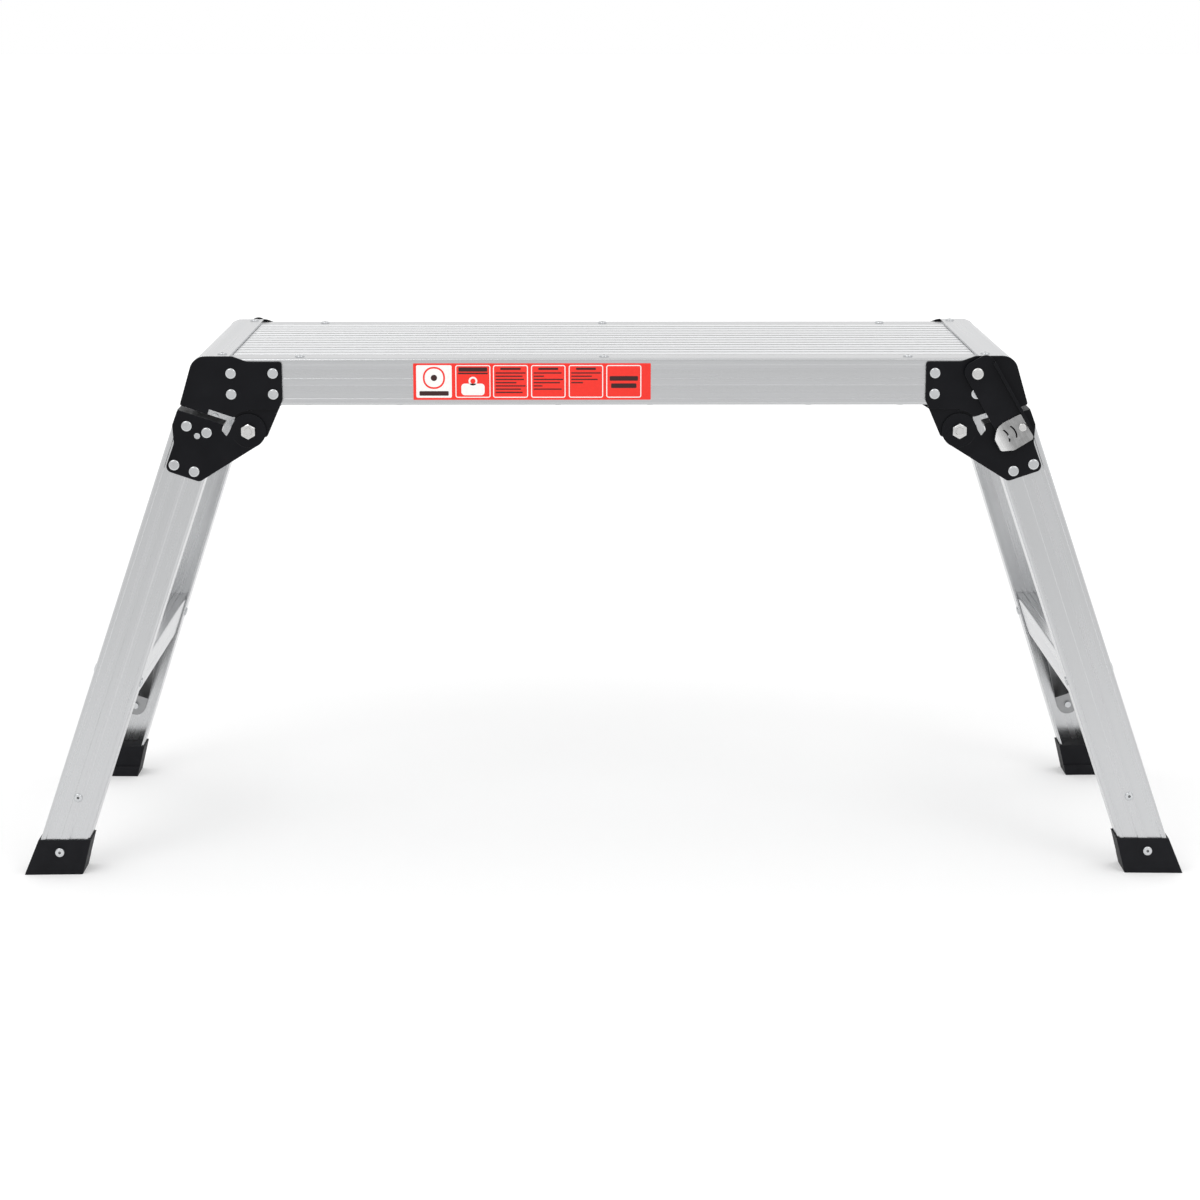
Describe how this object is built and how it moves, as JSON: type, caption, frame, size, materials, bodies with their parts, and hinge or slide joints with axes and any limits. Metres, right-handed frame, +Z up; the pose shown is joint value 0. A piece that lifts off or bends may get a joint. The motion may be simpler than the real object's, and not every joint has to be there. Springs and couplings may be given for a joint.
{
  "type": "folding work platform",
  "caption": "Folding aluminium work platform used as a sawhorse: ribbed deck, splayed leg frames that fold under it, steps, braces, shoes and lock levers.",
  "frame": {"origin": "on the ground, under the middle of the deck", "axes": "+X along the deck, -Y the front with the label, +Z up"},
  "size_m": [1.1302, 0.3824, 0.5041],
  "materials": {
    "deck_aluminium": "ribbed extrusion, fine length-wise lines",
    "rail_aluminium": "satin extrusion",
    "cap_aluminium": "satin sheet",
    "leg_aluminium": "satin extrusion",
    "step_aluminium": "satin extrusion",
    "brace_aluminium": "mill finish strip",
    "bracket_black": "satin black powder coat",
    "zinc_steel": "bright zinc plate",
    "rivet_steel": "plain bright metal",
    "shoe_black": "moulded, fine grain",
    "label_print": "printed film, red and white panels"
  },
  "bodies": {
    "platform": {"cross_member_centre": "rail_aluminium", "cross_member_left": "rail_aluminium", "cross_member_right": "rail_aluminium", "cross_member_rivets": "rivet_steel", "deck_edge_rivets": "rivet_steel", "deck_plank_centre": "deck_aluminium", "deck_plank_front": "deck_aluminium", "deck_plank_rear": "deck_aluminium", "end_cap_rivets": "rivet_steel", "left_end_cap": "cap_aluminium", "left_hinge_bolts": "zinc_steel", "left_hinge_nuts": "zinc_steel", "left_lever_pivot": "zinc_steel", "left_lever_spring": "zinc_steel", "left_rail_bracket_lever_side": "bracket_black", "left_rail_bracket_plain_side": "bracket_black", "left_rail_bracket_rivets": "rivet_steel", "rail_label": "label_print", "right_end_cap": "cap_aluminium", "right_hinge_bolts": "zinc_steel", "right_hinge_nuts": "zinc_steel", "right_lever_pivot": "zinc_steel", "right_lever_spring": "zinc_steel", "right_rail_bracket_lever_side": "bracket_black", "right_rail_bracket_plain_side": "bracket_black", "right_rail_bracket_rivets": "rivet_steel", "side_rail_front": "rail_aluminium", "side_rail_rear": "rail_aluminium"},
    "left_leg_frame": {"left_brace_lever_side": "brace_aluminium", "left_brace_plain_side": "brace_aluminium", "left_foot_shoe_lever_side": "shoe_black", "left_foot_shoe_plain_side": "shoe_black", "left_foot_shoe_rivets": "rivet_steel", "left_frame_rivets": "rivet_steel", "left_leg_bracket_lever_side": "bracket_black", "left_leg_bracket_plain_side": "bracket_black", "left_leg_bracket_rivets": "rivet_steel", "left_leg_lever_side": "leg_aluminium", "left_leg_plain_side": "leg_aluminium", "left_step": "step_aluminium"},
    "left_lock_lever": {"left_lock_lever": "bracket_black", "left_lock_tab": "zinc_steel", "left_lock_tab_rivet": "zinc_steel"},
    "right_leg_frame": {"right_brace_lever_side": "brace_aluminium", "right_brace_plain_side": "brace_aluminium", "right_foot_shoe_lever_side": "shoe_black", "right_foot_shoe_plain_side": "shoe_black", "right_foot_shoe_rivets": "rivet_steel", "right_frame_rivets": "rivet_steel", "right_leg_bracket_lever_side": "bracket_black", "right_leg_bracket_plain_side": "bracket_black", "right_leg_bracket_rivets": "rivet_steel", "right_leg_lever_side": "leg_aluminium", "right_leg_plain_side": "leg_aluminium", "right_step": "step_aluminium"},
    "right_lock_lever": {"right_lock_lever": "bracket_black", "right_lock_tab": "zinc_steel", "right_lock_tab_rivet": "zinc_steel"}
  },
  "joints": [
    {"name": "right_leg_fold", "type": "hinge", "parent": "platform", "child": "right_leg_frame", "pos_m": [0.34, 0, 0.4305], "axis": [0, 1, 0], "range_deg": [0, 94]},
    {"name": "left_leg_fold", "type": "hinge", "parent": "platform", "child": "left_leg_frame", "pos_m": [-0.34, 0, 0.4305], "axis": [0, -1, 0], "range_deg": [0, 108.7]},
    {"name": "right_lock", "type": "hinge", "parent": "platform", "child": "right_lock_lever", "pos_m": [0.3555, 0, 0.486], "axis": [0, -1, 0], "range_deg": [0, 14], "stiffness_Nm_per_rad": 0.3, "springref_deg": -17.19},
    {"name": "left_lock", "type": "hinge", "parent": "platform", "child": "left_lock_lever", "pos_m": [-0.3555, 0, 0.486], "axis": [0, 1, 0], "range_deg": [0, 14], "stiffness_Nm_per_rad": 0.3, "springref_deg": -17.19}
  ]
}
